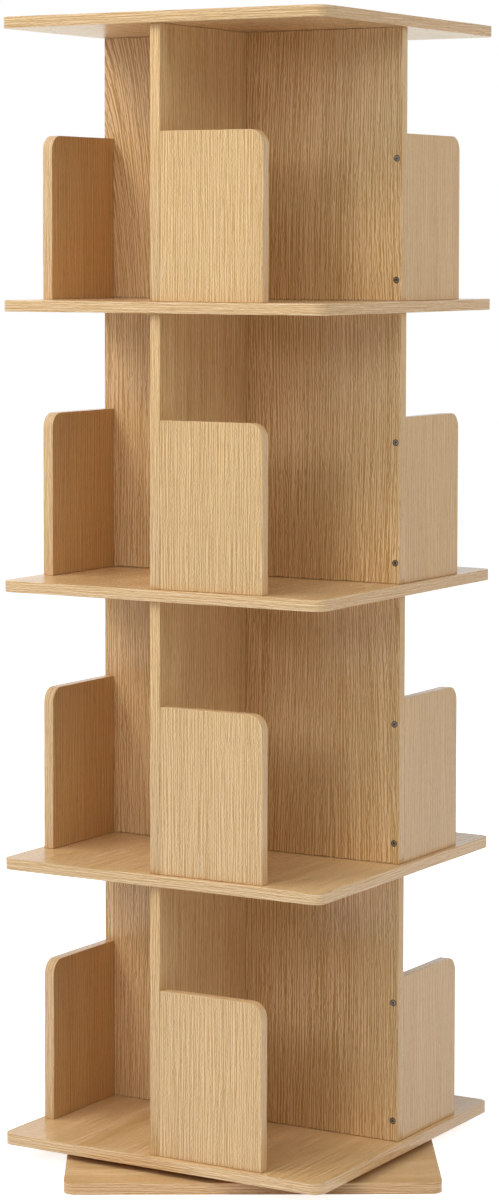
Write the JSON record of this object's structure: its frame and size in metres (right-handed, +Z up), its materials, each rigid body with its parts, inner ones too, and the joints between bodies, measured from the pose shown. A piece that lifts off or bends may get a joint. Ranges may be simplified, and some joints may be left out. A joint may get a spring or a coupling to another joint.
{
  "type": "revolving bookcase",
  "caption": "Tall square revolving bookcase: open tiers of book compartments set pinwheel-wise round a swivel axis, with low book stops, on a ball-bearing turntable and a flat base.",
  "frame": {"origin": "on the swivel axis, at the underside of the base board", "axes": "+Z up along the swivel axis; X and Y along the sides of the shelves at rest"},
  "size_m": [0.6688, 0.6688, 1.538],
  "materials": {
    "oak_shelf": "satin-lacquered oak veneer, level grain",
    "oak_panel": "satin-lacquered oak veneer, upright grain",
    "zinc_sheet": "zinc-plated pressed steel",
    "ball_steel": "polished bearing steel",
    "cage_nylon": "natural nylon",
    "screw_steel": "nickel-plated screw"
  },
  "bodies": {
    "stand": {"base_board": "oak_shelf", "turntable_lower_disc": "zinc_sheet"},
    "rolling_set": {"turntable_ball_cage": "cage_nylon", "turntable_ball_01": "ball_steel", "turntable_ball_02": "ball_steel", "turntable_ball_03": "ball_steel", "turntable_ball_04": "ball_steel", "turntable_ball_05": "ball_steel", "turntable_ball_06": "ball_steel", "turntable_ball_07": "ball_steel", "turntable_ball_08": "ball_steel", "turntable_ball_09": "ball_steel", "turntable_ball_10": "ball_steel", "turntable_ball_11": "ball_steel", "turntable_ball_12": "ball_steel", "turntable_ball_13": "ball_steel", "turntable_ball_14": "ball_steel", "turntable_ball_15": "ball_steel", "turntable_ball_16": "ball_steel"},
    "carcass": {"turntable_upper_disc": "zinc_sheet", "shelf_1": "oak_shelf", "shelf_2": "oak_shelf", "shelf_3": "oak_shelf", "shelf_4": "oak_shelf", "top_shelf": "oak_shelf", "upright_1_1": "oak_panel", "upright_1_2": "oak_panel", "upright_1_3": "oak_panel", "upright_1_4": "oak_panel", "upright_2_1": "oak_panel", "upright_2_2": "oak_panel", "upright_2_3": "oak_panel", "upright_2_4": "oak_panel", "upright_3_1": "oak_panel", "upright_3_2": "oak_panel", "upright_3_3": "oak_panel", "upright_3_4": "oak_panel", "upright_4_1": "oak_panel", "upright_4_2": "oak_panel", "upright_4_3": "oak_panel", "upright_4_4": "oak_panel", "book_stop_1_1": "oak_panel", "book_stop_1_2": "oak_panel", "book_stop_1_3": "oak_panel", "book_stop_1_4": "oak_panel", "book_stop_2_1": "oak_panel", "book_stop_2_2": "oak_panel", "book_stop_2_3": "oak_panel", "book_stop_2_4": "oak_panel", "book_stop_3_1": "oak_panel", "book_stop_3_2": "oak_panel", "book_stop_3_3": "oak_panel", "book_stop_3_4": "oak_panel", "book_stop_4_1": "oak_panel", "book_stop_4_2": "oak_panel", "book_stop_4_3": "oak_panel", "book_stop_4_4": "oak_panel"}
  },
  "joints": [
    {"name": "carcass_spin", "type": "hinge", "parent": "stand", "child": "carcass", "pos_m": [0, 0, 0.019], "axis": [0, 0, 1], "continuous": true},
    {"name": "ball_roll", "type": "hinge", "parent": "stand", "child": "rolling_set", "pos_m": [0, 0, 0.019], "axis": [0, 0, 1], "continuous": true}
  ],
  "couplings": [
    {"joint": "ball_roll", "follows": "carcass_spin", "ratio": 0.5}
  ]
}
